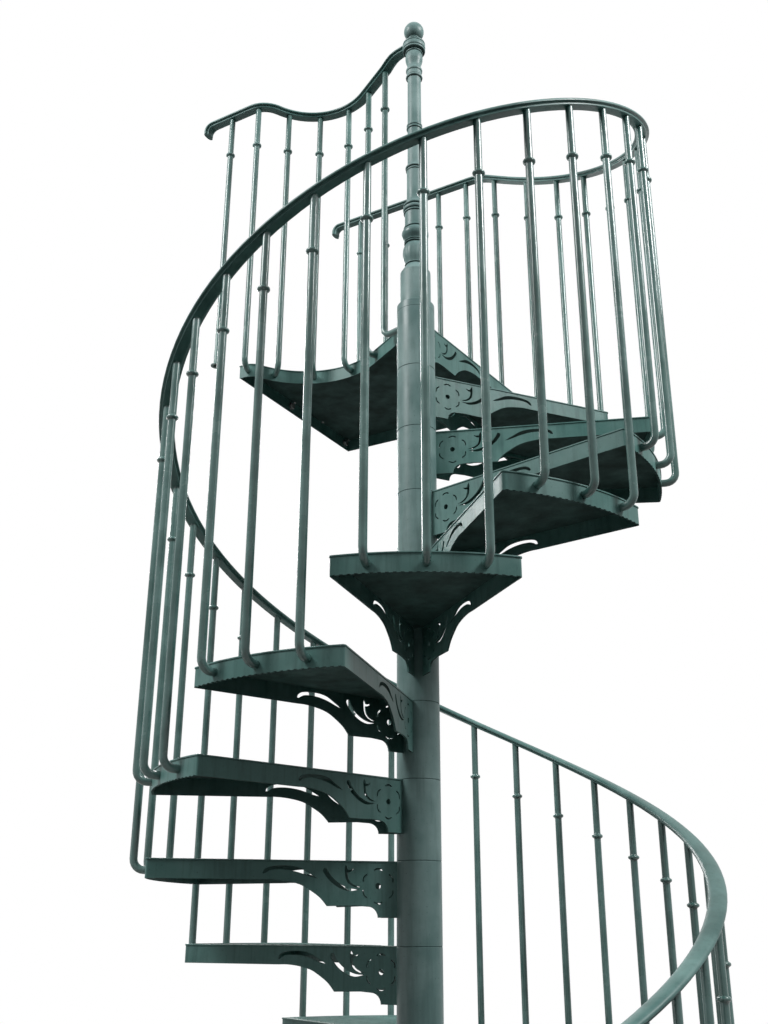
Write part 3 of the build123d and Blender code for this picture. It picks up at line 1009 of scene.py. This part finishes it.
def column_mesh():
    """Stacked cast sleeves: a long tube with a fine groove where each sits on the next."""
    size = sizes()
    outer = size.column_radius
    inner = outer - size.column_wall
    profile = [(inner, COLUMN_BOX[0].z), (outer, COLUMN_BOX[0].z)]
    for number in range(1, TREAD_COUNT + 1):
        z = number * size.rise
        profile += [(outer, z - size.seam), (outer - size.seam, z), (outer, z + size.seam)]
    profile += [(outer, size.landing_height), (inner, size.landing_height)]
    return turned_piece(profile, 72, closed=True)


def bead(height, thickness, neck, bulge, steps=6):
    """Half-round ring of a turned post, as radius and height in millimetres."""
    return [
        (neck + (bulge - neck) * sin(pi * step / steps),
         height - thickness / 2 * cos(pi * step / steps)) for step in range(steps + 1)]


def newel_profile():
    """Turned newel above its sleeve, as radius and height above the landing in millimetres."""
    lower_bulge = [
        (30.5, 178), (33, 186), (37, 198), (39, 211), (39, 226), (36.5, 238), (32, 246),
        (30.5, 249)]
    upper_bulge = [
        (31, 264), (35, 270), (40, 278), (42.3, 286), (41.4, 295), (37.5, 302), (33.5, 306)]
    vase = [
        (24, 951), (23, 960), (23.4, 968), (26, 978), (28.6, 988), (29.2, 1000), (28, 1010),
        (25.6, 1016)]
    neck = [(32, 1063), (24.5, 1066), (19, 1069), (17, 1073), (17, 1079)]
    return [
        (0, 139), (45.6, 139), (46.8, 140.4), (46.8, 143), (44, 147.5), (36.5, 160), (32, 167.5),
        (30, 171), *bead(174.5, 6, 30, 33.5),
        *smooth_line(lower_bulge, 3), *bead(253, 6, 30.5, 35), *bead(260, 6, 30.5, 35),
        *smooth_line(upper_bulge, 3), *bead(310, 7, 33, 36.5),
        (33, 315), (32.4, 330), (32.4, 352), (33, 362),
        *bead(368, 7, 33, 36.5), *bead(381, 15, 33, 38.5, 8), *bead(396, 10, 32, 37),
        (31, 402), (28, 410), (26.6, 418), (26, 440), (25.6, 500), (26.2, 528),
        *bead(533, 7, 26, 28.6), *bead(543, 9, 26, 30.4),
        (25, 549), (23.6, 556), (23.2, 570), (23, 640), (23, 694),
        *bead(702, 10, 23, 26.6), *bead(713, 10, 23, 26),
        (22.8, 722), (22.4, 760), (22.2, 880), (22.4, 906), *bead(915, 11, 22.8, 28.3),
        (25, 922), (24.6, 930), (25, 936), *bead(944, 12, 25, 27.8),
        *smooth_line(vase, 3), *bead(1020, 6, 25.6, 29), *bead(1030, 9, 34.6, 38.2),
        *bead(1045, 17, 36.4, 38.6, 8), *bead(1058, 8, 35, 38.2),
        *smooth_line(neck, 3), *bead(1083, 6, 17, 20.4), (16, 1087), (0, 1087)]


def newel_mesh():
    """The turned post, with shallow upright flutes drawn into its lower bulge."""
    base = sizes().landing_height
    profile = [(radius * MM, base + height * MM) for radius, height in newel_profile()]
    mesh = turned_piece(profile, 64)
    low, high = (base + height * MM for height in FLUTED)
    for vert in mesh.verts:
        if low < vert.co.z < high:
            depth = FLUTE_DEPTH * sin(pi * (vert.co.z - low) / (high - low))
            hollow = abs(sin(FLUTES / 2 * atan2(vert.co.y, vert.co.x))) ** 0.6
            vert.co.xy *= min(1.0, 1 - depth * hollow + depth * 0.5)
    return mesh


def newel_sleeve_mesh():
    """Plain sleeve round the newel's foot on a boss as wide as the column, its edges eased."""
    size = sizes()
    low, high = (corner.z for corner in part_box("newel_sleeve"))
    outer = size.sleeve_radius
    inner = outer - SLEEVE_WALL
    boss = size.column_radius
    ease = SLEEVE_EASE
    step = low + size.boss_height
    return turned_piece([
        (inner, low), (boss - ease, low), (boss, low + ease), (boss, step - 2 * ease),
        (boss - 2 * ease, step), (outer + ease, step), (outer, step + ease),
        (outer, high - ease), (outer - ease, high), (inner, high)], 64, closed=True)


def ball_mesh():
    radius = sizes().ball_radius
    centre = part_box("ball_finial")[1].z - radius
    profile = [
        (radius * sin(pi * share), -radius * cos(pi * share)) for share in shares(24)[1:-1]]
    return turned_piece([(0, -radius), *profile, (0, radius)], 48, raised(centre))


# Bolts and screws

ANCHOR_CIRCLE = 120 * MM
ANCHOR_STUD = 14 * MM
SLAB_BOLTS_Y = (290 * MM, 650 * MM)
SLAB_BOLT_DROP = 24 * MM
SCREWS_X = -659 * MM
SCREWS_Y = (305 * MM, 488 * MM, 671 * MM)
BOLT_SHARP = radians(25)


def hex_bolt(mesh, place, stud=0.0):
    """Bolt head on a washer, along the place's z; a stud stands out of it where it is a nut."""
    washer_radius, washer_height = 14 * MM, 2.5 * MM
    head_radius, head_height = 19 * MM / sqrt(3), 8 * MM
    z = 0.0
    for sides, foot, top, height in (
            (24, washer_radius, washer_radius, washer_height),
            (6, head_radius, head_radius, head_height),
            (16, 6 * MM, 5 * MM, stud)):
        if height:
            bmesh.ops.create_cone(
                mesh, cap_ends=True, segments=sides, radius1=foot, radius2=top, depth=height,
                matrix=place @ raised(z + height / 2))
        z += height


def pan_head(mesh, place):
    """Domed screw head at the place, standing along its z."""
    radius, height = 5.5 * MM, 4 * MM
    dome = arc((0, 0), radius, 0, pi / 2, 4)
    join(mesh, turned_piece([(0, 0)] + [(x, y * height / radius) for x, y in dome], 14, place))


# Operators

class STAIR_OT_base(bpy.types.Operator):
    """Paint the base plate and set its four anchor nuts"""

    bl_idname = "stair.base"
    bl_label = "Base plate"

    def execute(self, context):
        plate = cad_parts["base_plate"]
        plate.data.materials.clear()
        plate.data.materials.append(casting_paint())
        mesh = bmesh.new()
        for number in range(4):
            point = polar(ANCHOR_CIRCLE, pi / 4 + number * pi / 2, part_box("base_plate")[1].z)
            hex_bolt(mesh, Matrix.Translation(point), ANCHOR_STUD)
        finish_piece(mesh, "anchor_nuts", zinc_plated(), sharp=BOLT_SHARP)
        return {"FINISHED"}


class STAIR_OT_column(bpy.types.Operator):
    """Stack the sleeves of the central column"""

    bl_idname = "stair.column"
    bl_label = "Column"

    def execute(self, context):
        finish_piece(column_mesh(), "column_sleeves", column_paint(), ["column"])
        return {"FINISHED"}


class STAIR_OT_treads(bpy.types.Operator):
    """Cast the treads with their rims and pierced side brackets"""

    bl_idname = "stair.treads"
    bl_label = "Treads"

    def execute(self, context):
        pattern = tread_mesh()
        for number in range(1, TREAD_COUNT + 1):
            mesh = pattern.copy()
            bmesh.ops.transform(mesh, matrix=tread_place(number), verts=mesh.verts)
            name = f"tread_{number:02d}"
            finish_piece(mesh, f"cast_{name}", casting_paint(), [name])
        pattern.free()
        return {"FINISHED"}


class STAIR_OT_landing(bpy.types.Operator):
    """Cast the landing with its scalloped front, and its bolts and screws"""

    bl_idname = "stair.landing"
    bl_label = "Landing"

    def execute(self, context):
        size = sizes()
        mesh = landing_mesh()
        bmesh.ops.transform(mesh, matrix=raised(size.landing_height), verts=mesh.verts)
        finish_piece(mesh, "cast_landing", casting_paint(), ["landing_platform"])
        bolts = bmesh.new()
        inside = size.lip + size.cast_wall - landing_reach()
        for y in SLAB_BOLTS_Y:
            point = Vector((inside, y, size.landing_height - SLAB_BOLT_DROP))
            hex_bolt(bolts, Matrix.Translation(point) @ Matrix.Rotation(pi / 2, 4, "Y"))
        for y in SCREWS_Y:
            point = Vector((SCREWS_X, y, size.landing_height - size.top_thickness))
            pan_head(bolts, Matrix.Translation(point) @ Matrix.Rotation(pi, 4, "X"))
        finish_piece(bolts, "slab_bolts", zinc_plated(), sharp=BOLT_SHARP)
        return {"FINISHED"}


class STAIR_OT_balusters(bpy.types.Operator):
    """Bend and set the balusters of the flights and the landing"""

    bl_idname = "stair.balusters"
    bl_label = "Balusters"

    def execute(self, context):
        meshes = {}
        per_flight = TREAD_COUNT // FLIGHTS
        for flight in range(FLIGHTS):
            mesh = meshes[f"balusters_flight_{flight + 1}"] = bmesh.new()
            for step in range(per_flight):
                tread_bars(mesh, flight * per_flight + step + 1)
        meshes["landing_front_balusters"] = front_bars_mesh()
        meshes["landing_far_balusters"] = far_bars_mesh()
        for node, mesh in meshes.items():
            finish_piece(mesh, f"round_{node}", bar_paint(), [node])
        return {"FINISHED"}


class STAIR_OT_handrails(bpy.types.Operator):
    """Run the moulded handrail up the helix and round the landing"""

    bl_idname = "stair.handrails"
    bl_label = "Handrails"

    def execute(self, context):
        meshes = {f"handrail_{number + 1}": handrail_mesh(number) for number in range(FLIGHTS)}
        meshes["landing_far_rail"] = far_rail_mesh()
        meshes["landing_front_rail"] = front_rail_mesh()
        for node, mesh in meshes.items():
            finish_piece(mesh, f"moulded_{node}", shaded_rail_paint(), [node])
        return {"FINISHED"}


class STAIR_OT_newel(bpy.types.Operator):
    """Turn the newel with its rings, its sleeve and its ball"""

    bl_idname = "stair.newel"
    bl_label = "Newel"

    def execute(self, context):
        for mesh, name, slot, node in (
                (newel_sleeve_mesh(), "plain_sleeve", "column_paint", "newel_sleeve"),
                (newel_mesh(), "turned_newel", "newel_paint", "newel_post"),
                (ball_mesh(), "ball", "newel_paint", "ball_finial")):
            finish_piece(mesh, name, column_paint(), [node])
        return {"FINISHED"}


class STAIR_OT_stage(bpy.types.Operator):
    """Lay the pale floor, hang the lamps and set the camera"""

    bl_idname = "stair.stage"
    bl_label = "Stage"

    def execute(self, context):
        lay_floor()
        light_world()
        soft_lamp("key_lamp", (-2.4, -3.2, 6.2), (0, 0, 3.8), 2.0, 230)
        soft_lamp("right_lamp", (3.8, 0.2, 6.0), (0, 0, 3.9), 1.6, 240)
        soft_lamp("left_back_lamp", (-3.6, 2.8, 5.0), (0, 0, 3.2), 2.2, 160)
        soft_lamp("low_lamp", (-3.4, -3.0, 1.6), (0, 0, 1.4), 1.6, 10)
        aim_camera()
        context.scene.view_settings.view_transform = "Standard"
        return {"FINISHED"}


# Stage

FLOOR_HALF_WIDTH = 12
FLOOR_FADE = (1.6, 6.0)
UNSEEN_FLOOR = "#2c2c2b"
HORIZON_GLOW = 0.03
OVERHEAD_GLOW = 0.8


def looked_at(tree):
    """1 where the eye sees a thing straight, mirrored or through glass, and 0 for its light."""
    path = add_node(tree, "LightPath", {}).node.outputs
    direct = calculated(tree, "MAXIMUM", path["Is Camera Ray"], path["Is Transmission Ray"])
    return calculated(tree, "MAXIMUM", direct, path["Is Glossy Ray"])


def floor_paint():
    """Matt floor paint: pale to the eye, fading into the backdrop, with little light thrown up."""
    material, tree, shader, place = new_material("matt_floor_paint")
    feed(tree, shader, {
        "Base Color": blended(tree, looked_at(tree), colour(UNSEEN_FLOOR), shade("floor")),
        "Roughness": 0.9, "Specular IOR Level": 0.0})
    reach = add_node(tree, "VectorMath", {0: place}, "Value", operation="LENGTH")
    fade = ranged(tree, reach, *FLOOR_FADE, interpolation_type="SMOOTHSTEP")
    from_below = add_node(tree, "NewGeometry", {}, "Backfacing")
    surface = add_node(tree, "MixShader", {
        0: calculated(tree, "MAXIMUM", fade, from_below), 1: shader.outputs["BSDF"],
        2: add_node(tree, "BsdfTransparent", {})})
    feed(tree, tree.nodes["Material Output"], {"Surface": surface})
    return material


def lay_floor():
    mesh = bmesh.new()
    bmesh.ops.create_grid(mesh, x_segments=1, y_segments=1, size=FLOOR_HALF_WIDTH)
    floor = add_mesh("floor", mesh, floor_paint())


def light_world():
    """Soft sky: white to the eye, and for the light on the object bright overhead, dim below."""
    world = bpy.data.worlds.new("soft_sky")
    bpy.context.scene.world = world
    world.use_nodes = True
    tree = world.node_tree
    looking = add_node(tree, "TexCoord", {}, "Generated")
    height = add_node(tree, "SeparateXYZ", {"Vector": looking}, "Z")
    glow = ranged(tree, height, 0.0, 1.0, HORIZON_GLOW, OVERHEAD_GLOW)
    feed(tree, tree.nodes["Background"], {
        "Color": (1, 1, 1, 1), "Strength": between(tree, looked_at(tree), glow, 1.0)})


def soft_lamp(name, place, target, size, power):
    lamp = bpy.data.lights.new(name, "AREA")
    lamp.shape = "DISK"
    lamp.size = size
    lamp.energy = power
    holder = add_object(name, lamp)
    holder.location = place
    aim = Vector(target) - Vector(place)
    holder.rotation_euler = aim.to_track_quat("-Z", "Y").to_euler()


def aim_camera():
    """Low camera before the stair that looks up at it, as in the reference view."""
    yaw, pitch, roll = radians(30.238), radians(21.006), radians(0.299)
    forward = direction(yaw + pi / 2, pitch)
    level_right = direction(yaw)
    level_up = level_right.cross(forward)
    right = level_right * cos(roll) + level_up * sin(roll)
    up = level_up * cos(roll) - level_right * sin(roll)
    lens = bpy.data.cameras.new("camera")
    lens.lens = 38.2
    lens.sensor_width = 36
    lens.clip_start = 0.05
    camera = add_object("camera", lens)
    turned = Matrix((right, up, -forward)).transposed().to_4x4()
    turned.translation = (1.3758, -2.5469, 1.6395)
    camera.matrix_world = turned
    bpy.context.scene.camera = camera


class STAIR_PT_panel(bpy.types.Panel):
    """Lists the pieces of the staircase with their sizes and colours"""

    bl_idname = "STAIR_PT_panel"
    bl_label = "Staircase"
    bl_space_type = "VIEW_3D"
    bl_region_type = "UI"
    bl_category = "Staircase"

    def draw(self, context):
        layout = self.layout
        for operator in OPERATORS:
            layout.operator(operator.bl_idname)
        for group in (context.scene.stair_sizes, context.scene.stair_colours):
            box = layout.box()
            for name in group.__annotations__:
                box.prop(group, name)


OPERATORS = (
    STAIR_OT_base, STAIR_OT_column, STAIR_OT_treads, STAIR_OT_landing, STAIR_OT_balusters,
    STAIR_OT_handrails, STAIR_OT_newel, STAIR_OT_stage)
CLASSES = (StairSizes, StairColours, *OPERATORS, STAIR_PT_panel)


def register():
    for kind in CLASSES:
        bpy.utils.register_class(kind)
    bpy.types.Scene.stair_sizes = bpy.props.PointerProperty(type=StairSizes)
    bpy.types.Scene.stair_colours = bpy.props.PointerProperty(type=StairColours)


def unregister():
    del bpy.types.Scene.stair_colours
    del bpy.types.Scene.stair_sizes
    for kind in reversed(CLASSES):
        bpy.utils.unregister_class(kind)


def main():
    register()
    bpy.ops.stair.base()
    bpy.ops.stair.column()
    bpy.ops.stair.treads()
    bpy.ops.stair.landing()
    bpy.ops.stair.balusters()
    bpy.ops.stair.handrails()
    bpy.ops.stair.newel()
    bpy.ops.stair.stage()


if __name__ == "__main__":
    main()
